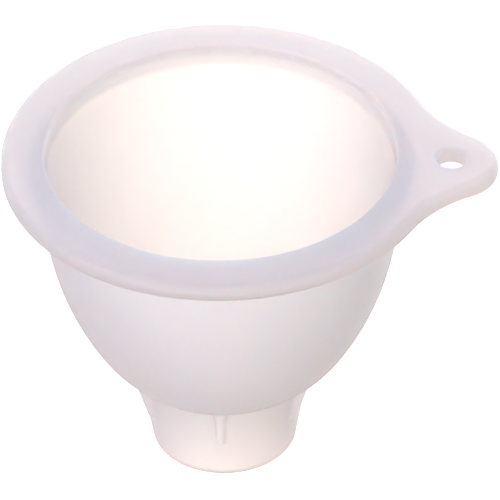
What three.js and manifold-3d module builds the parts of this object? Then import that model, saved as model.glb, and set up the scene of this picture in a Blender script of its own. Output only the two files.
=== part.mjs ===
// Wide-mouth silicone funnel: a deep round bowl under a flat flanged rim, a short
// wide spout with six vent ribs, and a hanging tab with an eye on one side.
// Millimetres, +Z up. The foot of the spout stands on z = 0, the tab points along +X,
// and the origin is under the middle of the bounding box.
//
// The funnel is one moulding. Its nodes are zones of that moulding that meet face to
// face, without overlap: the flange, the tab, the bowl, the spout and each rib.

import * as THREE from 'three';
import { mergeVertices } from 'three/addons/utils/BufferGeometryUtils.js';
import Module from 'manifold-3d';

const wasm = await Module();
wasm.setup();

// ---- driving dimensions -------------------------------------------------------

const HEIGHT = 95.7;            // foot of the spout to the top of the rim
const SEGMENTS = 96;            // facets round every turned surface

const RIM_RADIUS = 57.5;        // outer edge of the flange
const RIM_THICKNESS = 4.6;
const RIM_TOP_ROUND = 2.6;      // rounding of the flange's upper outer edge
const RIM_UNDER_BREAK = 0.4;    // small break of its lower outer edge
const LIP_RADIUS = 46.0;        // inner edge of the flange, the mouth of the bowl
const LIP_ROUND = 0.9;

const WALL = 2.4;               // bowl and spout
const BOWL_TOP_RADIUS = 48.6;   // outside of the bowl, right under the flange
const UNDER_RIM_FILLET = 4.0;
const DRAFT_DEG = 5.87;         // upper bowl wall leans in by this much
const DRAFT_DEPTH = 23.28;      // below the rim top, where the straight wall ends
const BELLY_RADIUS = 88.5;      // arc that follows the straight wall
const BELLY_END_DEG = 29.5;
const BASE_RADIUS = 41.0;       // arc of the bowl's rounded bottom

const SHOULDER_DEPTH = 70.8;    // below the rim top, where bowl and spout meet
const SHOULDER_RADIUS = 23.57;
const CREASE_FILLET = 1.8;      // length of the blend either side of the crease
const THROAT_ROUND = 1.9;       // the same inside, where the bowl turns into the spout
const SPLIT_BELOW_SHOULDER = 1.3;
const FOOT_RADIUS = 19.6;       // outside of the spout at its foot
const FOOT_ROUND = 0.4;

const TAB_EYE_X = 60.3;         // centre of the eye from the funnel's axis
const TAB_TIP_RADIUS = 12.2;    // round end, concentric with the eye
const TAB_BLEND_RADIUS = 36.0;  // concave blend from the round end into the rim
const EYE_RADIUS = 3.5;
const EYE_FLARE = 1.55;         // countersink of the eye on the top face, its width
const EYE_SINK = 1.2;           // and its depth
const EYE_BREAK = 0.6;          // rounding of its lower edge

const RIB_COUNT = 6;
const RIB_FIRST_DEG = 91.875;   // from the tab's direction
const RIB_WIDTH_TOP = 3.8;       // at its foot on the spout, level with the crease
const RIB_WIDTH_END = 3.0;       // the same at its lower end
const RIB_CREST = 0.56;          // width of the outer edge, as a share of the foot
const RIB_END_Z = 13.0;         // lower end, above the foot
const RIB_REACH_TOP = 26.3;     // radius of the rib's outer edge, level with the crease
const RIB_REACH_END = 22.8;     // and at its lower end

const AXIS_X = -(TAB_EYE_X + TAB_TIP_RADIUS - RIM_RADIUS) / 2;

// ---- helpers ------------------------------------------------------------------

const rad = THREE.MathUtils.degToRad;

function solid(geometry) {
  const g = geometry.clone();
  for (const name of Object.keys(g.attributes)) if (name !== 'position') g.deleteAttribute(name);
  const m = mergeVertices(g, 1e-4);
  const index = m.index.array;
  const tris = [];
  for (let i = 0; i < index.length; i += 3) {
    const [a, b, c] = [index[i], index[i + 1], index[i + 2]];
    if (a !== b && b !== c && c !== a) tris.push(a, b, c);
  }
  return new wasm.Manifold(new wasm.Mesh({
    numProp: 3,
    vertProperties: new Float32Array(m.attributes.position.array),
    triVerts: new Uint32Array(tris),
  }));
}

function geometryOf(manifold) {
  const mesh = manifold.getMesh();
  const p = new Float32Array(mesh.numVert * 3);
  for (let i = 0; i < mesh.numVert; i++) {
    for (let k = 0; k < 3; k++) p[3 * i + k] = mesh.vertProperties[mesh.numProp * i + k];
  }
  const g = new THREE.BufferGeometry();
  g.setAttribute('position', new THREE.BufferAttribute(p, 3));
  g.setIndex(new THREE.BufferAttribute(new Uint32Array(mesh.triVerts), 1));
  g.computeVertexNormals();
  return g;
}

// A ring turned about Z from a closed profile of [radius, height] pairs, given
// with its outer side going up.
function turned(profile) {
  const points = profile.map(([r, z]) => new THREE.Vector2(r, z));
  points.push(points[0].clone());
  const g = new THREE.LatheGeometry(points, SEGMENTS);
  g.rotateX(Math.PI / 2);
  return g;
}

const box = (x0, x1, y0, y1, z0, z1) => {
  const g = new THREE.BoxGeometry(x1 - x0, y1 - y0, z1 - z0);
  g.translate((x0 + x1) / 2, (y0 + y1) / 2, (z0 + z1) / 2);
  return g;
};

// Points of a corner a-b-c softened by a curve that starts at a and ends at c.
function softened(a, b, c, steps) {
  const out = [];
  for (let i = 0; i <= steps; i++) {
    const t = i / steps;
    out.push([0, 1].map((k) => (1 - t) ** 2 * a[k] + 2 * t * (1 - t) * b[k] + t * t * c[k]));
  }
  return out;
}

// ---- the bowl's section -------------------------------------------------------
// A straight drafted wall, a long belly arc and a nearly spherical base arc, each
// tangent to the next. inset = 0 is the outside, inset = WALL the inside.

const rimTop = HEIGHT;
const rimUnder = HEIGHT - RIM_THICKNESS;
const shoulderZ = HEIGHT - SHOULDER_DEPTH;
const a0 = rad(DRAFT_DEG);
const a1 = rad(BELLY_END_DEG);
const draftEndZ = HEIGHT - DRAFT_DEPTH;
const draftEndR = BOWL_TOP_RADIUS - Math.tan(a0) * (rimUnder - draftEndZ);
const belly = [draftEndR - BELLY_RADIUS * Math.cos(a0), draftEndZ + BELLY_RADIUS * Math.sin(a0)];
const base = [
  belly[0] + (BELLY_RADIUS - BASE_RADIUS) * Math.cos(a1),
  belly[1] - (BELLY_RADIUS - BASE_RADIUS) * Math.sin(a1),
];
const onArc = (c, radius, a) => [c[0] + radius * Math.cos(a), c[1] - radius * Math.sin(a)];
const wallAt = (z, inset) => BOWL_TOP_RADIUS - inset / Math.cos(a0) - Math.tan(a0) * (rimUnder - z);

const spoutSlope = (SHOULDER_RADIUS - FOOT_RADIUS) / shoulderZ;
const spoutAngle = Math.atan(spoutSlope);
const spoutAt = (z, inset) =>
  SHOULDER_RADIUS - spoutSlope * (shoulderZ - z) - inset / Math.cos(spoutAngle);

// Angle on the base arc where it meets the spout's line.
function meeting(inset) {
  let lo = a1;
  let hi = rad(75);
  for (let i = 0; i < 60; i++) {
    const mid = (lo + hi) / 2;
    const [r, z] = onArc(base, BASE_RADIUS - inset, mid);
    if (r > spoutAt(z, inset)) lo = mid;
    else hi = mid;
  }
  return (lo + hi) / 2;
}

// The bowl's curve from top to bottom, ending with the softened turn into the spout.
function bowlCurve(inset, blend, topZ, steps) {
  const out = [[wallAt(topZ, inset), topZ]];
  const [s1, s2] = steps;
  for (let i = 0; i <= s1; i++) {
    out.push(onArc(belly, BELLY_RADIUS - inset, a0 + ((a1 - a0) * i) / s1));
  }
  const radius = BASE_RADIUS - inset;
  const corner = meeting(inset);
  const stop = corner - blend / radius;
  for (let i = 1; i <= s2; i++) out.push(onArc(base, radius, a1 + ((stop - a1) * i) / s2));
  const c = onArc(base, radius, corner);
  const after = c[1] - blend * Math.cos(spoutAngle);
  out.push(...softened(out.pop(), c, [spoutAt(after, inset), after], 3));
  return out;
}

// ---- rim ring -----------------------------------------------------------------

const rimProfile = [];
rimProfile.push([wallAt(rimUnder, WALL), rimUnder]);
rimProfile.push([RIM_RADIUS - RIM_UNDER_BREAK, rimUnder]);
rimProfile.push([RIM_RADIUS, rimUnder + RIM_UNDER_BREAK]);
for (let i = 0; i <= 4; i++) {
  const a = (Math.PI / 2) * (i / 4);
  rimProfile.push([
    RIM_RADIUS - RIM_TOP_ROUND + RIM_TOP_ROUND * Math.cos(a),
    rimTop - RIM_TOP_ROUND + RIM_TOP_ROUND * Math.sin(a),
  ]);
}
for (let i = 0; i <= 3; i++) {
  const a = (Math.PI / 2) * (i / 3);
  rimProfile.push([
    LIP_RADIUS + LIP_ROUND - LIP_ROUND * Math.sin(a),
    rimTop - LIP_ROUND + LIP_ROUND * Math.cos(a),
  ]);
}

// The tab's blends start on the rim's edge at this distance from the YZ plane.
const blendCentre = (() => {
  const p = RIM_RADIUS + TAB_BLEND_RADIUS;
  const q = TAB_TIP_RADIUS + TAB_BLEND_RADIUS;
  const u = (p * p + TAB_EYE_X * TAB_EYE_X - q * q) / (2 * TAB_EYE_X);
  return [u, Math.sqrt(p * p - u * u)];
})();
const TAB_ROOT_X = (blendCentre[0] * RIM_RADIUS) / (RIM_RADIUS + TAB_BLEND_RADIUS);

const rimRing = solid(turned(rimProfile)).subtract(
  solid(box(TAB_ROOT_X, TAB_ROOT_X + 40, -60, 60, rimUnder - 5, rimTop + 5)));

// ---- hanging tab --------------------------------------------------------------
// Plan outline as points with outward normals, inset level by level so that its
// edges are rounded like the rim's.

const outline = [];
{
  const arc = (cx, cy, radius, from, to, steps, sign, skip) => {
    for (let i = skip ? 1 : 0; i <= steps; i++) {
      const a = from + ((to - from) * i) / steps;
      outline.push({
        x: cx + radius * Math.cos(a), y: cy + radius * Math.sin(a),
        nx: sign * Math.cos(a), ny: sign * Math.sin(a),
      });
    }
  };
  const [bu, bv] = blendCentre;
  const rootAngle = Math.atan2(bv, bu);
  const tipAngle = Math.atan2(bv, bu - TAB_EYE_X);
  arc(0, 0, RIM_RADIUS, -rootAngle - 0.12, -rootAngle, 3, 1, false);
  arc(bu, -bv, TAB_BLEND_RADIUS, Math.PI - rootAngle, Math.PI - tipAngle, 9, -1, true);
  arc(TAB_EYE_X, 0, TAB_TIP_RADIUS, -tipAngle, tipAngle, 20, 1, true);
  arc(bu, bv, TAB_BLEND_RADIUS, Math.PI + tipAngle, Math.PI + rootAngle, 9, -1, true);
  arc(0, 0, RIM_RADIUS, rootAngle, rootAngle + 0.12, 3, 1, true);
}

// Closed plate from a list of [height, inset] levels, going up.
function plate(levels) {
  const n = outline.length;
  const p = [];
  const tris = [];
  for (const [z, inset] of levels) {
    for (const o of outline) p.push(o.x - inset * o.nx, o.y - inset * o.ny, z);
  }
  for (let l = 0; l + 1 < levels.length; l++) {
    for (let i = 0; i < n; i++) {
      const j = (i + 1) % n;
      const [a, b, c, d] = [l * n + i, l * n + j, (l + 1) * n + j, (l + 1) * n + i];
      tris.push(a, b, c, a, c, d);
    }
  }
  const cap = (l, up) => {
    const contour = outline.map((_, i) => new THREE.Vector2(p[3 * (l * n + i)], p[3 * (l * n + i) + 1]));
    for (const [a, b, c] of THREE.ShapeUtils.triangulateShape(contour, [])) {
      if (up) tris.push(l * n + a, l * n + b, l * n + c);
      else tris.push(l * n + a, l * n + c, l * n + b);
    }
  };
  cap(0, false);
  cap(levels.length - 1, true);
  const g = new THREE.BufferGeometry();
  g.setAttribute('position', new THREE.BufferAttribute(new Float32Array(p), 3));
  g.setIndex(tris);
  return g;
}

const tabLevels = [[rimUnder, RIM_UNDER_BREAK], [rimUnder + RIM_UNDER_BREAK, 0]];
for (let i = 0; i <= 4; i++) {
  const a = (Math.PI / 2) * (i / 4);
  tabLevels.push([rimTop - RIM_TOP_ROUND + RIM_TOP_ROUND * Math.sin(a), RIM_TOP_ROUND * (1 - Math.cos(a))]);
}

const eyeProfile = [[0, rimUnder - 1], [EYE_RADIUS + EYE_BREAK, rimUnder - 1]];
for (let i = 0; i <= 3; i++) {
  const a = (Math.PI / 2) * (i / 3);
  eyeProfile.push([EYE_RADIUS + EYE_BREAK * (1 - Math.sin(a)), rimUnder + EYE_BREAK * (1 - Math.cos(a))]);
}
eyeProfile.push([EYE_RADIUS, rimTop - EYE_SINK], [EYE_RADIUS + EYE_FLARE, rimTop]);
eyeProfile.push([EYE_RADIUS + EYE_FLARE, rimTop + 1], [0, rimTop + 1]);
const eyeCutter = new THREE.LatheGeometry(eyeProfile.map(([r, z]) => new THREE.Vector2(r, z)), 32);
eyeCutter.rotateX(Math.PI / 2);
eyeCutter.translate(TAB_EYE_X, 0, 0);

const hangTab = solid(plate(tabLevels))
  .subtract(solid(box(20, TAB_ROOT_X, -60, 60, rimUnder - 5, rimTop + 5)))
  .subtract(solid(eyeCutter));

// ---- bowl shell ---------------------------------------------------------------

const splitZ = shoulderZ - SPLIT_BELOW_SHOULDER;
const filletFoot = rimUnder - UNDER_RIM_FILLET;
const bowlProfile = [];
{
  const outer = bowlCurve(0, CREASE_FILLET, filletFoot, [4, 7]);
  outer.push([spoutAt(splitZ, 0), splitZ]);
  const inner = bowlCurve(WALL, THROAT_ROUND, rimUnder, [4, 6]);
  if (inner[inner.length - 1][1] > splitZ + 0.05) inner.push([spoutAt(splitZ, WALL), splitZ]);
  bowlProfile.push(...outer.reverse());
  bowlProfile.push(...softened(
    bowlProfile.pop(),
    [wallAt(rimUnder, 0), rimUnder],
    [wallAt(rimUnder, 0) + UNDER_RIM_FILLET, rimUnder], 3));
  bowlProfile.push(...inner);
}
const bowlShell = solid(turned(bowlProfile));

// ---- spout --------------------------------------------------------------------

const footInner = spoutAt(0, WALL);
const spoutProfile = [
  [footInner + FOOT_ROUND, 0],
  [FOOT_RADIUS - FOOT_ROUND, 0],
  [FOOT_RADIUS - 0.28 * FOOT_ROUND, 0.28 * FOOT_ROUND],
  [spoutAt(FOOT_ROUND, 0), FOOT_ROUND],
  [spoutAt(splitZ, 0), splitZ],
  [spoutAt(splitZ, WALL), splitZ],
  [spoutAt(FOOT_ROUND, WALL), FOOT_ROUND],
  [footInner + 0.28 * FOOT_ROUND, 0.28 * FOOT_ROUND],
];
const spoutTube = solid(turned(spoutProfile));

// ---- vent ribs ----------------------------------------------------------------
// Tapered fins that stand off the spout and run up under the bowl.

function rib(angle) {
  const slope = (RIB_REACH_TOP - RIB_REACH_END) / (shoulderZ - RIB_END_Z);
  const reach = (z) => RIB_REACH_END + slope * (z - RIB_END_Z);
  const width = (z) =>
    RIB_WIDTH_END + ((RIB_WIDTH_TOP - RIB_WIDTH_END) * (z - RIB_END_Z)) / (shoulderZ - RIB_END_Z);
  const top = shoulderZ + 2.6;
  const side = [                       // radius and height, clockwise from inside
    [spoutAt(RIB_END_Z, WALL / 2), RIB_END_Z],
    [spoutAt(RIB_END_Z, 0), RIB_END_Z],
    [reach(RIB_END_Z) - 0.25, RIB_END_Z + 0.15],
    [reach(RIB_END_Z + 0.8), RIB_END_Z + 0.8],
    [reach(top), top],
    [reach(top) - 2.0, top],
    [SHOULDER_RADIUS - WALL / 2, shoulderZ - 1],
  ];
  const crest = [0, 0, 1, 1, 1, 0, 0];
  const n = side.length;
  const p = [];
  for (const s of [-1, 1]) {
    side.forEach(([r, z], i) => p.push(r, (s * width(z) * (crest[i] ? RIB_CREST : 1)) / 2, z));
  }
  const contour = side.map(([r, z]) => new THREE.Vector2(r, z));
  const tris = [];
  for (const [a, b, c] of THREE.ShapeUtils.triangulateShape(contour, [])) {
    tris.push(a, b, c, n + a, n + c, n + b);
  }
  for (let i = 0; i < n; i++) {
    const j = (i + 1) % n;
    tris.push(j, i, n + i, j, n + i, n + j);
  }
  const g = new THREE.BufferGeometry();
  g.setAttribute('position', new THREE.BufferAttribute(new Float32Array(p), 3));
  g.setIndex(tris);
  g.rotateZ(angle);
  return solid(g).subtract(spoutTube).subtract(bowlShell);
}

// ---- assembly -----------------------------------------------------------------

const silicone = () => new THREE.MeshStandardMaterial({
  color: 0xebdfe0, roughness: 0.42, metalness: 0,
});

const funnel = new THREE.Group();
funnel.name = 'funnel';
const moulding = new THREE.Group();
moulding.position.x = AXIS_X;
funnel.add(moulding);

function add(name, manifold) {
  const mesh = new THREE.Mesh(geometryOf(manifold), silicone());
  mesh.name = name;
  moulding.add(mesh);
}

add('rim_ring', rimRing);
add('hang_tab', hangTab);
add('bowl_shell', bowlShell);
add('spout_tube', spoutTube);
for (let i = 0; i < RIB_COUNT; i++) {
  add(`vent_rib_${i + 1}`, rib(rad(RIB_FIRST_DEG + (360 / RIB_COUNT) * i)));
}

export default funnel;
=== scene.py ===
"""Wide-mouth silicone funnel: one seamless translucent moulding over the CAD zones."""
import math

import bpy
import numpy as np
from mathutils import Matrix, Vector
from mathutils.geometry import delaunay_2d_cdt


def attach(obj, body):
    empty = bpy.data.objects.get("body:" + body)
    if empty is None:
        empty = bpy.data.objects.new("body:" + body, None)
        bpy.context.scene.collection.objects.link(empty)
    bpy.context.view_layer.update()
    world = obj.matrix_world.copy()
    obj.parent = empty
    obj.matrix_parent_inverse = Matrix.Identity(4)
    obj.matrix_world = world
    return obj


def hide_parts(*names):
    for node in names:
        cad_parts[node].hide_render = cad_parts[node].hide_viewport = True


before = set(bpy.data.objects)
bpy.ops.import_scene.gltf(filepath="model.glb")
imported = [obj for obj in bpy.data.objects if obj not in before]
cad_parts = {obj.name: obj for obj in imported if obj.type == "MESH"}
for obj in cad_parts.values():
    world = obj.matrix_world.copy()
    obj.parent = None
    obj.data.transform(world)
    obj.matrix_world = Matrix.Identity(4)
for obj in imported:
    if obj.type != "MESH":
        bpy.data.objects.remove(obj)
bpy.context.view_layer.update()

# ---------------------------------------------------------------- dimensions, mm
HEIGHT = 95.7
RIM_R, RIM_T, RIM_ROUND, RIM_UNDER = 57.5, 4.6, 2.6, 0.5
LIP_R, LIP_ROUND = 46.0, 0.9
WALL = 2.4
BOWL_R, UNDER_FILLET = 48.6, 4.0
DRAFT, DRAFT_DEPTH = math.radians(5.87), 23.28
BELLY_R, BELLY_END = 88.5, math.radians(29.5)
BASE_R = 41.0
SHOULDER_DEPTH, SHOULDER_R = 70.8, 23.57
FOOT_R, FOOT_ROUND = 19.6, 0.4
CREASE_R, THROAT_R = 2.2, 2.6
EYE_X, TIP_R, BLEND_R = 60.3, 12.2, 36.0
EYE_R, EYE_FLARE, EYE_BREAK = 3.5, 1.7, 0.6
RIBS, RIB_FIRST = 6, math.radians(91.875)
RIB_TOP_W, RIB_END_W, RIB_END_Z = 3.8, 2.9, 13.0
RIB_FLARE = 0.25
RIB_REACH_TOP, RIB_REACH_END = 26.3, 22.8
# painted shade: a darker tint multiplied into the base colour on the inner wall just under the lip, standing in for
# the light that the thick flange holds back
PAINTED_SHADE_TINT = (0.62, 0.70, 0.74)
# depths under the top face between which the painted shade comes in, and goes out again
SHADE_IN, SHADE_OUT = (0.8, 3.3), (4.9, 7.8)
# along y, from the side that is lit from in front to the side that is lit through the wall: the painted shade is
# strongest on the side lit through the wall
SHADE_Y = (-14.0, 26.0)

AXIS_X = -(EYE_X + TIP_R - RIM_R) / 2
RIM_Z, UNDER_Z = HEIGHT, HEIGHT - RIM_T
CREASE_Z = HEIGHT - SHOULDER_DEPTH

# ---------------------------------------------------------------- section curve
DRAFT_Z = HEIGHT - DRAFT_DEPTH
DRAFT_R = BOWL_R - math.tan(DRAFT) * (UNDER_Z - DRAFT_Z)
BELLY = (DRAFT_R - BELLY_R * math.cos(DRAFT), DRAFT_Z + BELLY_R * math.sin(DRAFT))
BASE = (
    BELLY[0] + (BELLY_R - BASE_R) * math.cos(BELLY_END),
    BELLY[1] - (BELLY_R - BASE_R) * math.sin(BELLY_END),
)
SPOUT_SLOPE = (SHOULDER_R - FOOT_R) / CREASE_Z
SPOUT_A = math.atan(SPOUT_SLOPE)


def arc_pt(c, r, a):
    return (c[0] + r * math.cos(a), c[1] - r * math.sin(a))


def wall_r(z, inset):
    return BOWL_R - inset / math.cos(DRAFT) - math.tan(DRAFT) * (UNDER_Z - z)


def spout_r(z, inset):
    return SHOULDER_R - SPOUT_SLOPE * (CREASE_Z - z) - inset / math.cos(SPOUT_A)


def corner_angle(inset):
    lo, hi = BELLY_END, math.radians(75)
    for _ in range(60):
        mid = (lo + hi) / 2
        r, z = arc_pt(BASE, BASE_R - inset, mid)
        if r > spout_r(z, inset):
            lo = mid
        else:
            hi = mid
    return (lo + hi) / 2


def arc(c, r, a_from, a_to, n, skip=False):
    return [
        (c[0] + r * math.cos(a), c[1] + r * math.sin(a))
        for a in np.linspace(a_from, a_to, n + 1)[1 if skip else 0 :]
    ]


def bowl_side(inset, radius, steps):
    """Bowl from the foot of the straight wall to the start of the spout, with the rounded turn between."""
    pts = []
    n1, n2, n3 = steps
    for a in np.linspace(DRAFT, BELLY_END, n1 + 1):
        pts.append(arc_pt(BELLY, BELLY_R - inset, a))
    big = BASE_R - inset
    if inset == 0:
        # concave crease: circle outside the bowl, touching it and the spout's line
        rho = big + radius

        def off(a):
            c = arc_pt(BASE, rho, a)
            return (c[0] - spout_r(c[1], 0)) * math.cos(SPOUT_A) - radius

    else:
        # the corner inside points into the material's hollow, and is rounded from the wall's side
        rho = big + radius

        def off(a):
            c = arc_pt(BASE, rho, a)
            return (c[0] - spout_r(c[1], inset)) * math.cos(SPOUT_A) - radius

    lo, hi = math.radians(30), math.radians(85)
    for _ in range(80):
        mid = (lo + hi) / 2
        if off(mid) > 0:
            lo = mid
        else:
            hi = mid
    stop = (lo + hi) / 2
    c = arc_pt(BASE, rho, stop)
    for a in np.linspace(BELLY_END, stop, n2 + 1)[1:]:
        pts.append(arc_pt(BASE, big, a))
    # round the turn: from the touching point on the arc to the one on the line
    start = math.atan2(pts[-1][1] - c[1], pts[-1][0] - c[0])
    end = math.pi - SPOUT_A
    start = start % (2 * math.pi)
    pts += arc(c, radius, start, end, n3, skip=True)
    return pts


def lin(a, b, n, skip=True):
    t = np.linspace(0, 1, n + 1)[1 if skip else 0 :]
    return [(a[0] + (b[0] - a[0]) * k, a[1] + (b[1] - a[1]) * k) for k in t]


outer_bowl = bowl_side(0, CREASE_R, (18, 20, 10))
inner_bowl = bowl_side(WALL, THROAT_R, (14, 14, 12))

# under the flange: concave fillet from the flange's underside into the bowl's wall
uf = UNDER_FILLET
ufc_z = UNDER_Z - uf
ufc = (wall_r(ufc_z, 0) + uf / math.cos(DRAFT), ufc_z)
rows = arc(ufc, uf, math.pi / 2, math.pi - DRAFT, 7)
rows += lin(rows[-1], outer_bowl[0], 8)
rows += outer_bowl[1:]
# spout, with closer rows where the ribs end
for z in (22.4, 20.6, 18.8, 17.2, 15.8, 14.7, 14.0, 13.6, 13.35, 13.22, 13.12, 13.04, 12.96, 12.88, 12.8, 12.7, 12.55, 12.2, 11.4, 10.2, 8.2, 6.0, 3.8, 1.9):
    rows.append((spout_r(z, 0), z))
n_outer = len(rows)
fo = (spout_r(FOOT_ROUND, 0) - FOOT_ROUND, FOOT_ROUND)
rows += arc(fo, FOOT_ROUND, -SPOUT_A * 0.5, -math.pi / 2, 6)
fi = (spout_r(FOOT_ROUND, WALL) + FOOT_ROUND, FOOT_ROUND)
rows += arc(fi, FOOT_ROUND, -math.pi / 2, -math.pi + SPOUT_A * 0.5, 6)
top_of_line = inner_bowl[-1]
rows += lin((spout_r(1.6, WALL), 1.6), top_of_line, 9, skip=False)
rows += inner_bowl[::-1][1:]
lip_low = (LIP_R, RIM_Z - LIP_ROUND)
rows += lin(inner_bowl[0], (wall_r(UNDER_Z - 6.0, WALL), UNDER_Z - 6.0), 4)
# the wall thickens and closes in slightly towards the lip
a, b = rows[-1], lip_low
for t in np.linspace(0, 1, 15)[1:]:
    s = t * t * (3 - 2 * t)
    line_r = wall_r(a[1] + (b[1] - a[1]) * t, WALL)
    rows.append((line_r + (b[0] - wall_r(b[1], WALL)) * s, a[1] + (b[1] - a[1]) * t))
rows += arc((LIP_R + LIP_ROUND, RIM_Z - LIP_ROUND), LIP_ROUND, math.pi, math.pi / 2, 8, skip=True)
rows = np.array(rows)

# ---------------------------------------------------------------- columns
# Normalised section across a rib: distance from its middle, in units of its half width, and height.
RIB_CURVE = [
    (0.0, 1.0), (0.18, 1.0), (0.30, 0.995), (0.40, 0.97), (0.47, 0.92), (0.54, 0.84), (0.61, 0.73), (0.68, 0.60),
    (0.75, 0.47), (0.82, 0.35), (0.89, 0.24), (0.96, 0.15), (1.03, 0.085), (1.11, 0.04), (1.20, 0.015), (1.32, 0.003),
    (1.46, 0.0),
]
half = RIB_TOP_W / 2
u_pos = [u for u, _ in RIB_CURVE]
h_pos = [h for _, h in RIB_CURVE]
near_u = np.array([-u for u in u_pos[:0:-1]] + u_pos)
near_h = np.array(h_pos[:0:-1] + h_pos)
BETWEEN = 26
R_REF = 23.5
theta, rib_of, col_u, col_h = [], [], [], []
edge = math.asin(u_pos[-1] * half / R_REF)
for k in range(RIBS):
    centre = RIB_FIRST + 2 * math.pi * k / RIBS
    for u, h in zip(near_u, near_h):
        theta.append(centre + math.asin(u * half / R_REF))
        rib_of.append(k)
        col_u.append(u)
        col_h.append(h)
    gap = 2 * math.pi / RIBS - 2 * edge
    for i in range(1, BETWEEN):
        theta.append(centre + edge + gap * i / BETWEEN)
        rib_of.append(-1)
        col_u.append(0)
        col_h.append(0)
theta, rib_of, col_u, col_h = map(np.array, (theta, rib_of, col_u, col_h))
N = len(theta)


def rib_reach(z):
    return RIB_REACH_END + (RIB_REACH_TOP - RIB_REACH_END) * (z - RIB_END_Z) / (CREASE_Z - RIB_END_Z)


def smooth01(x):
    x = np.clip(x, 0, 1)
    return x * x * (3 - 2 * x)


verts = []
grid = np.zeros((len(rows), N), int)
for i, (r, z) in enumerate(rows):
    outside = i < n_outer
    th = theta.copy()
    pts = np.stack([r * np.cos(th), r * np.sin(th)], 1)
    if outside and z < 29.5 and z > 11:
        w_half = (RIB_END_W + (RIB_TOP_W - RIB_END_W) * (z - RIB_END_Z) / (CREASE_Z - RIB_END_Z)) / 2
        room = rib_reach(z) - r
        w_half += RIB_FLARE * smooth01((z - 17.5) / 7.0) ** 2
        soft = 0.45
        p = 0.5 * (room + math.sqrt(room * room + soft * soft)) if room > -3 else 0.0
        p *= smooth01((3.0 + room) / 3.0) * smooth01((z - 12.72) / 0.5)
        for k in range(RIBS):
            m = rib_of == k
            c = RIB_FIRST + 2 * math.pi * k / RIBS
            w = col_u[m] * w_half
            w = w + (col_u[m] * half - w) * smooth01((np.abs(col_u[m]) - 1.1) / 0.36)
            base_x = np.sqrt(np.maximum(r * r - w * w, 1.0))
            x = base_x + p * col_h[m]
            pts[m, 0] = x * math.cos(c) - w * math.sin(c)
            pts[m, 1] = x * math.sin(c) + w * math.cos(c)
    for j in range(N):
        grid[i, j] = len(verts)
        verts.append((pts[j, 0], pts[j, 1], z))
faces = []
for i in range(len(rows) - 1):
    for j in range(N):
        k = (j + 1) % N
        faces.append((grid[i, j], grid[i + 1, j], grid[i + 1, k], grid[i, k]))

# ---------------------------------------------------------------- flange and tab outline
p_, q_ = RIM_R + BLEND_R, TIP_R + BLEND_R
bu = (p_ * p_ + EYE_X * EYE_X - q_ * q_) / (2 * EYE_X)
bv = math.sqrt(p_ * p_ - bu * bu)
root_a, tip_a = math.atan2(bv, bu), math.atan2(bv, bu - EYE_X)
outline = []


def sweep(cx, cy, r, a0, a1, n, sign):
    for a in np.linspace(a0, a1, n + 1)[:-1]:
        outline.append((cx + r * math.cos(a), cy + r * math.sin(a), sign * math.cos(a), sign * math.sin(a)))


sweep(0, 0, RIM_R, root_a, 2 * math.pi - root_a, 200, 1)
sweep(bu, -bv, BLEND_R, math.pi - root_a, math.pi - tip_a, 30, -1)
sweep(EYE_X, 0, TIP_R, -tip_a, tip_a, 44, 1)
sweep(bu, bv, BLEND_R, math.pi + tip_a, math.pi + root_a, 30, -1)
outline = np.array(outline)
M = len(outline)

edge_rows = []
ru = RIM_UNDER
for a in np.linspace(0, math.pi / 2, 6):
    edge_rows.append((UNDER_Z + ru * (1 - math.cos(a)), ru * (1 - math.sin(a))))
for a in np.linspace(0, math.pi / 2, 12):
    edge_rows.append((RIM_Z - RIM_ROUND + RIM_ROUND * math.sin(a), RIM_ROUND * (1 - math.cos(a))))
side = np.zeros((len(edge_rows), M), int)
for i, (z, inset) in enumerate(edge_rows):
    for j, (x, y, nx, ny) in enumerate(outline):
        side[i, j] = len(verts)
        verts.append((x - inset * nx, y - inset * ny, z))
for i in range(len(edge_rows) - 1):
    for j in range(M):
        k = (j + 1) % M
        faces.append((side[i, j], side[i, k], side[i + 1, k], side[i + 1, j]))

# ---------------------------------------------------------------- eye
E = 72
eye_rows = []
# the mouth rolls over from the top face into the bore, and the lower edge is just broken
for a in np.linspace(math.pi / 2, 0, 13):
    eye_rows.append((RIM_Z - EYE_FLARE * (1 - math.sin(a)), EYE_R + EYE_FLARE * (1 - math.cos(a))))
for a in np.linspace(math.pi / 2, 0, 7):
    eye_rows.append((UNDER_Z + EYE_BREAK * (1 - math.cos(a)), EYE_R + EYE_BREAK * (1 - math.sin(a))))
eye = np.zeros((len(eye_rows), E), int)
for i, (z, r) in enumerate(eye_rows):
    for j in range(E):
        a = 2 * math.pi * j / E
        eye[i, j] = len(verts)
        verts.append((EYE_X + r * math.cos(a), r * math.sin(a), z))
for i in range(len(eye_rows) - 1):
    for j in range(E):
        k = (j + 1) % E
        faces.append((eye[i, j], eye[i, k], eye[i + 1, k], eye[i + 1, j]))


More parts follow.
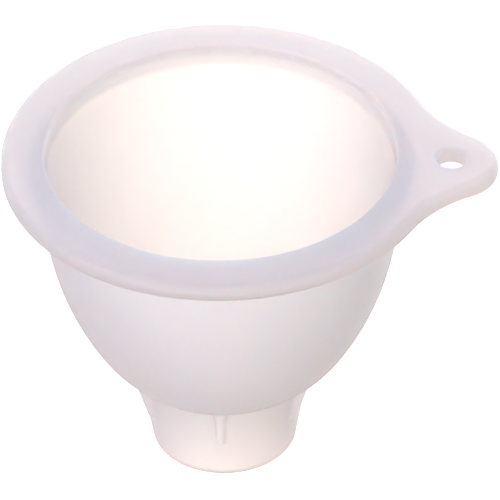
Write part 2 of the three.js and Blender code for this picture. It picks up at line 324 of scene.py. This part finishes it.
# ---------------------------------------------------------------- flat faces of the flange
def flat(inner_loop, outer_loop, eye_loop, inner_r, eye_r, z, up):
    ids = [int(v) for v in inner_loop] + [int(v) for v in outer_loop] + [int(v) for v in eye_loop]
    pts = [Vector((verts[v][0], verts[v][1])) for v in ids]
    n0, n1, n2 = len(inner_loop), len(outer_loop), len(eye_loop)
    edges = [(i, (i + 1) % n0) for i in range(n0)]
    edges += [(n0 + i, n0 + (i + 1) % n1) for i in range(n1)]
    edges += [(n0 + n1 + i, n0 + n1 + (i + 1) % n2) for i in range(n2)]
    contour = np.array([verts[int(v)][:2] for v in outer_loop])
    mouth = np.array([verts[int(v)][:2] for v in inner_loop])
    # steiner points: rings over the flange, and a hexagonal grid over the tab
    fixed = np.array([[p.x, p.y] for p in pts])

    def clear(x, y, gap):
        return np.min(np.hypot(fixed[:, 0] - x, fixed[:, 1] - y)) > gap

    extra = []
    step = 1.6
    r = inner_r + step * 0.9
    k = 0
    while r < 90:
        n = int(round(2 * math.pi * r / step))
        for i in range(n):
            a = 2 * math.pi * (i + 0.5 * (k % 2)) / n
            x, y = r * math.cos(a), r * math.sin(a)
            if x > 75 or not inside(contour, x, y):
                continue
            if math.hypot(x - EYE_X, y) < eye_r + 0.6:
                continue
            if clear(x, y, 0.75):
                extra.append(Vector((x, y)))
        r += step * 0.9
        k += 1
    out = delaunay_2d_cdt(pts + extra, edges, [], 0, 1e-6)
    new_pts, tris, origin = out[0], out[2], out[3]
    index = []
    for n, p in enumerate(new_pts):
        src = [o for o in origin[n] if o < len(ids)]
        if src:
            index.append(ids[src[0]])
        else:
            index.append(len(verts))
            verts.append((p.x, p.y, z))
    for t in tris:
        cx = sum(new_pts[i].x for i in t) / 3
        cy = sum(new_pts[i].y for i in t) / 3
        if math.hypot(cx - EYE_X, cy) < eye_r - 1e-3 or not inside(contour, cx, cy):
            continue
        if inside(mouth, cx, cy):
            continue
        a, b, c = (new_pts[i] for i in t)
        ccw = (b.x - a.x) * (c.y - a.y) - (b.y - a.y) * (c.x - a.x) > 0
        f = tuple(index[i] for i in t)
        faces.append(f if ccw == up else f[::-1])


def inside(poly, x, y):
    x0, y0 = poly[:, 0], poly[:, 1]
    x1, y1 = np.roll(x0, -1), np.roll(y0, -1)
    cross = (y0 > y) != (y1 > y)
    with np.errstate(divide="ignore", invalid="ignore"):
        xs = x0 + (y - y0) * (x1 - x0) / (y1 - y0)
    return bool(np.count_nonzero(cross & (x < xs)) % 2)


flat(grid[-1], side[-1], eye[0], LIP_R + LIP_ROUND, EYE_R + EYE_FLARE, RIM_Z, True)
flat(grid[0], side[0], eye[-1], rows[0][0], EYE_R + EYE_BREAK, UNDER_Z, False)

# ---------------------------------------------------------------- the piece
coords = (np.array(verts) + np.array([AXIS_X, 0, 0])) / 1000.0
mesh = bpy.data.meshes.new("funnel_moulding")
mesh.from_pydata([tuple(c) for c in coords], [], [tuple(int(i) for i in f) for f in faces])
mesh.validate()
mesh.update()
for poly in mesh.polygons:
    poly.use_smooth = True
funnel = bpy.data.objects.new("funnel_moulding", mesh)
bpy.context.scene.collection.objects.link(funnel)


# ---------------------------------------------------------------- materials
def node(nt, kind, x=0, y=0, **values):
    n = nt.nodes.new(kind)
    n.location = (x, y)
    for k, v in values.items():
        if hasattr(n, k):
            setattr(n, k, v)
        else:
            n.inputs[k.replace("_", " ")].default_value = v
    return n


def silicone_material():
    m = bpy.data.materials.new("milky_silicone")
    m.use_nodes = True
    nt = m.node_tree
    nt.nodes.clear()
    out = node(nt, "ShaderNodeOutputMaterial", 900, 0)
    bsdf = node(nt, "ShaderNodeBsdfPrincipled", 600, 0)
    nt.links.new(bsdf.outputs[0], out.inputs[0])
    bsdf.subsurface_method = "RANDOM_WALK"
    bsdf.inputs["Subsurface Weight"].default_value = 1.0
    bsdf.inputs["Subsurface Radius"].default_value = (1.0, 0.65, 0.5)
    bsdf.inputs["Subsurface Scale"].default_value = 0.040
    bsdf.inputs["IOR"].default_value = 1.41
    bsdf.inputs["Subsurface Anisotropy"].default_value = 0.0
    bsdf.inputs["Transmission Weight"].default_value = 0.35
    bsdf.inputs["Specular IOR Level"].default_value = 0.1
    tc = node(nt, "ShaderNodeTexCoord", -900, 0)
    cloud = node(nt, "ShaderNodeTexNoise", -600, 200, Scale=38.0, Detail=3.0, Roughness=0.5)
    nt.links.new(tc.outputs["Object"], cloud.inputs["Vector"])
    ramp = node(nt, "ShaderNodeValToRGB", -350, 200)
    ramp.color_ramp.elements[0].position = 0.3
    ramp.color_ramp.elements[0].color = (0.971, 0.955, 0.966, 1)
    ramp.color_ramp.elements[1].position = 0.7
    ramp.color_ramp.elements[1].color = (0.989, 0.975, 0.984, 1)
    nt.links.new(cloud.outputs["Fac"], ramp.inputs["Fac"])
    # painted shade: the flange is thick behind the top of the inner wall, so less light comes through there, and the
    # base colour is darkened in that band to stand in for it
    flat_xy = node(nt, "ShaderNodeVectorMath", -700, 500, operation="MULTIPLY_ADD")
    flat_xy.inputs[1].default_value = (1, 1, 0)
    flat_xy.inputs[2].default_value = (-AXIS_X / 1000, 0, 0)
    nt.links.new(tc.outputs["Object"], flat_xy.inputs[0])
    radius = node(nt, "ShaderNodeVectorMath", -500, 500, operation="LENGTH")
    nt.links.new(flat_xy.outputs[0], radius.inputs[0])
    near = node(nt, "ShaderNodeMapRange", -300, 500, interpolation_type="SMOOTHSTEP")
    near.inputs["From Min"].default_value = (LIP_R + LIP_ROUND) / 1000
    near.inputs["From Max"].default_value = (LIP_R + 0.25) / 1000
    nt.links.new(radius.outputs["Value"], near.inputs["Value"])
    split = node(nt, "ShaderNodeSeparateXYZ", -500, 700)
    nt.links.new(tc.outputs["Object"], split.inputs[0])
    painted_shade_mask = near
    for y, axis, (a, b) in (
        (700, "Z", (RIM_Z - SHADE_IN[0], RIM_Z - SHADE_IN[1])),
        (900, "Z", (RIM_Z - SHADE_OUT[1], RIM_Z - SHADE_OUT[0])),
        (1100, "Y", SHADE_Y),
    ):
        ease = node(nt, "ShaderNodeMapRange", -300, y, interpolation_type="SMOOTHSTEP")
        ease.inputs["From Min"].default_value = a / 1000
        ease.inputs["From Max"].default_value = b / 1000
        nt.links.new(split.outputs[axis], ease.inputs["Value"])
        both = node(nt, "ShaderNodeMath", -100, y, operation="MULTIPLY")
        nt.links.new(painted_shade_mask.outputs[0], both.inputs[0])
        nt.links.new(ease.outputs[0], both.inputs[1])
        painted_shade_mask = both
    # painted shade: inside the mask the tint multiplies the base colour
    painted_shade_mix = node(nt, "ShaderNodeMix", 100, 300, data_type="RGBA", blend_type="MULTIPLY")
    nt.links.new(painted_shade_mask.outputs[0], painted_shade_mix.inputs[0])
    for socket in painted_shade_mix.inputs:
        if socket.type == "RGBA" and socket.name == "A":
            nt.links.new(ramp.outputs["Color"], socket)
        if socket.type == "RGBA" and socket.name == "B":
            socket.default_value = (*PAINTED_SHADE_TINT, 1)
    for socket in painted_shade_mix.outputs:
        if socket.type == "RGBA":
            nt.links.new(socket, bsdf.inputs["Base Color"])
    haze = node(nt, "ShaderNodeTexNoise", -600, -100, Scale=160.0, Detail=4.0, Roughness=0.55)
    nt.links.new(tc.outputs["Object"], haze.inputs["Vector"])
    rough = node(nt, "ShaderNodeMapRange", -350, -100)
    rough.inputs["To Min"].default_value = 0.40
    rough.inputs["To Max"].default_value = 0.52
    nt.links.new(haze.outputs["Fac"], rough.inputs["Value"])
    nt.links.new(rough.outputs[0], bsdf.inputs["Roughness"])
    grain = node(nt, "ShaderNodeTexNoise", -600, -400, Scale=900.0, Detail=3.0, Roughness=0.6)
    nt.links.new(tc.outputs["Object"], grain.inputs["Vector"])
    bump = node(nt, "ShaderNodeBump", 300, -300, Strength=0.12, Distance=0.0001)
    nt.links.new(grain.outputs["Fac"], bump.inputs["Height"])
    nt.links.new(bump.outputs[0], bsdf.inputs["Normal"])
    return m


silicone = silicone_material()
mesh.materials.append(silicone)
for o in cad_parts.values():
    o.data.materials.clear()
    o.data.materials.append(silicone)

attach(funnel, "root")
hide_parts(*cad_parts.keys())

# ---------------------------------------------------------------- stage
floor_mesh = bpy.data.meshes.new("floor")
S = 6.0
floor_mesh.from_pydata([(-S, -S, 0), (S, -S, 0), (S, S, 0), (-S, S, 0)], [], [(0, 1, 2, 3)])
floor = bpy.data.objects.new("floor", floor_mesh)
floor.location = (0, 0, -0.0002)
bpy.context.scene.collection.objects.link(floor)
fm = bpy.data.materials.new("pale_floor")
fm.use_nodes = True
nt = fm.node_tree
fb = nt.nodes["Principled BSDF"]
fb.inputs["Roughness"].default_value = 0.9
fb.inputs["Specular IOR Level"].default_value = 0.0
fb.inputs["Base Color"].default_value = (0.9, 0.9, 0.9, 1)
ftc = node(nt, "ShaderNodeTexCoord", -900, 0)
fn = node(nt, "ShaderNodeTexNoise", -600, 0, Scale=3.0, Detail=2.0)
fr = node(nt, "ShaderNodeValToRGB", -350, 0)
fr.color_ramp.elements[0].color = (0.985, 0.985, 0.985, 1)
fr.color_ramp.elements[1].color = (1.0, 1.0, 1.0, 1)
nt.links.new(ftc.outputs["Object"], fn.inputs["Vector"])
nt.links.new(fn.outputs["Fac"], fr.inputs["Fac"])
nt.links.new(fr.outputs["Color"], fb.inputs["Emission Color"])
fb.inputs["Emission Strength"].default_value = 1.0
floor_mesh.materials.append(fm)
# the floor is a glowing white sweep: it is seen, and the studio's light comes up through it
floor.visible_diffuse = False
floor.visible_glossy = False
floor.visible_transmission = False
floor.visible_volume_scatter = False
floor.visible_shadow = False

scene = bpy.context.scene
world = bpy.data.worlds.new("studio")
scene.world = world
world.use_nodes = True
nt = world.node_tree
nt.nodes.clear()
# wide soft sources, each a smooth lobe: where it stands, how tight it is, and its light
SOFT_SOURCES = [
    ((0, 1, -0.15), 3.0, (1.93, 1.79, 1.62)),
    ((0.7, 1, 0.1), 6.0, (1.45, 1.74, 2.11)),
    ((-0.7, 1, 0.1), 6.0, (0.77, 1.15, 1.06)),
    ((-1, 0.1, 0), 6.0, (0.00, 0.00, 0.26)),
    ((0, 1, -1), 4.0, (0.60, 0.25, 0.00)),
    ((-0.8, -1, 0.1), 5.0, (1.94, 1.59, 1.46)),
    ((0.8, -1, 0.1), 5.0, (1.31, 1.03, 0.77)),
    ((0, -1, 0), 5.0, (1.44, 1.23, 1.14)),
    ((0, 0, -1), 3.0, (0.00, 0.04, 0.15)),
    ((0, 0, 1), 3.0, (0.00, 0.22, 0.24)),
    ((0, -1, 1), 4.0, (0.25, 0.00, 0.19)),
    ((0, 1, 1), 4.0, (0.00, 0.03, 0.36)),
]
wtc = node(nt, "ShaderNodeTexCoord", -1400, 0)
total = None
for n, (axis, tight, light) in enumerate(SOFT_SOURCES):
    axis = Vector(axis).normalized()
    dot = node(nt, "ShaderNodeVectorMath", -1200, -200 * n, operation="DOT_PRODUCT")
    dot.inputs[1].default_value = axis
    nt.links.new(wtc.outputs["Generated"], dot.inputs[0])
    fall = node(nt, "ShaderNodeMath", -1000, -200 * n, operation="MULTIPLY_ADD")
    fall.inputs[1].default_value = tight
    fall.inputs[2].default_value = -tight
    nt.links.new(dot.outputs["Value"], fall.inputs[0])
    lobe = node(nt, "ShaderNodeMath", -800, -200 * n, operation="EXPONENT")
    nt.links.new(fall.outputs[0], lobe.inputs[0])
    tint = node(nt, "ShaderNodeVectorMath", -600, -200 * n, operation="SCALE")
    tint.inputs[0].default_value = light
    nt.links.new(lobe.outputs[0], tint.inputs["Scale"])
    if total is None:
        total = tint
    else:
        add = node(nt, "ShaderNodeVectorMath", -400, -200 * n, operation="ADD")
        nt.links.new(total.outputs[0], add.inputs[0])
        nt.links.new(tint.outputs[0], add.inputs[1])
        total = add
lit = node(nt, "ShaderNodeBackground", -100, 0)
nt.links.new(total.outputs[0], lit.inputs["Color"])
seen = node(nt, "ShaderNodeBackground", -100, -200)
seen.inputs["Color"].default_value = (1, 1, 1, 1)
path = node(nt, "ShaderNodeLightPath", -100, 300)
pick = node(nt, "ShaderNodeMixShader", 150, 0)
nt.links.new(path.outputs["Is Camera Ray"], pick.inputs[0])
nt.links.new(lit.outputs[0], pick.inputs[1])
nt.links.new(seen.outputs[0], pick.inputs[2])
wout = node(nt, "ShaderNodeOutputWorld", 400, 0)
nt.links.new(pick.outputs[0], wout.inputs[0])

# ---------------------------------------------------------------- camera
ELEV, DIST, FOCAL_PX = math.radians(38.597), 1.200, 4513.1
OX, OY, ROLL, AZ = -27.82, 3.58, math.radians(-0.60), math.radians(-4.4)
fwd = np.array([0, math.cos(ELEV), -math.sin(ELEV)])
right = np.array([1.0, 0, 0])
up = np.array([0, math.sin(ELEV), math.cos(ELEV)])
r2 = right * math.cos(ROLL) + up * math.sin(ROLL)
u2 = -right * math.sin(ROLL) + up * math.cos(ROLL)
pos = np.array([0, 0, (HEIGHT - 35) / 1000]) - fwd * DIST - r2 * (OX / FOCAL_PX * DIST) + u2 * (OY / FOCAL_PX * DIST)
turn = np.array([[math.cos(-AZ), -math.sin(-AZ), 0], [math.sin(-AZ), math.cos(-AZ), 0], [0, 0, 1]])
pos, r2, u2, fwd = turn @ pos, turn @ r2, turn @ u2, turn @ fwd
pos[0] += AXIS_X / 1000
cam_data = bpy.data.cameras.new("camera")
cam_data.sensor_width = 36.0
cam_data.lens = FOCAL_PX / 500 * 36.0
cam_data.clip_start, cam_data.clip_end = 0.05, 50
cam = bpy.data.objects.new("camera", cam_data)
cam.matrix_world = Matrix(
    [[r2[i], u2[i], -fwd[i], pos[i]] for i in range(3)] + [[0, 0, 0, 1]]
)
scene.collection.objects.link(cam)
scene.camera = cam
scene.view_settings.view_transform = "Standard"

bpy.context.view_layer.update()
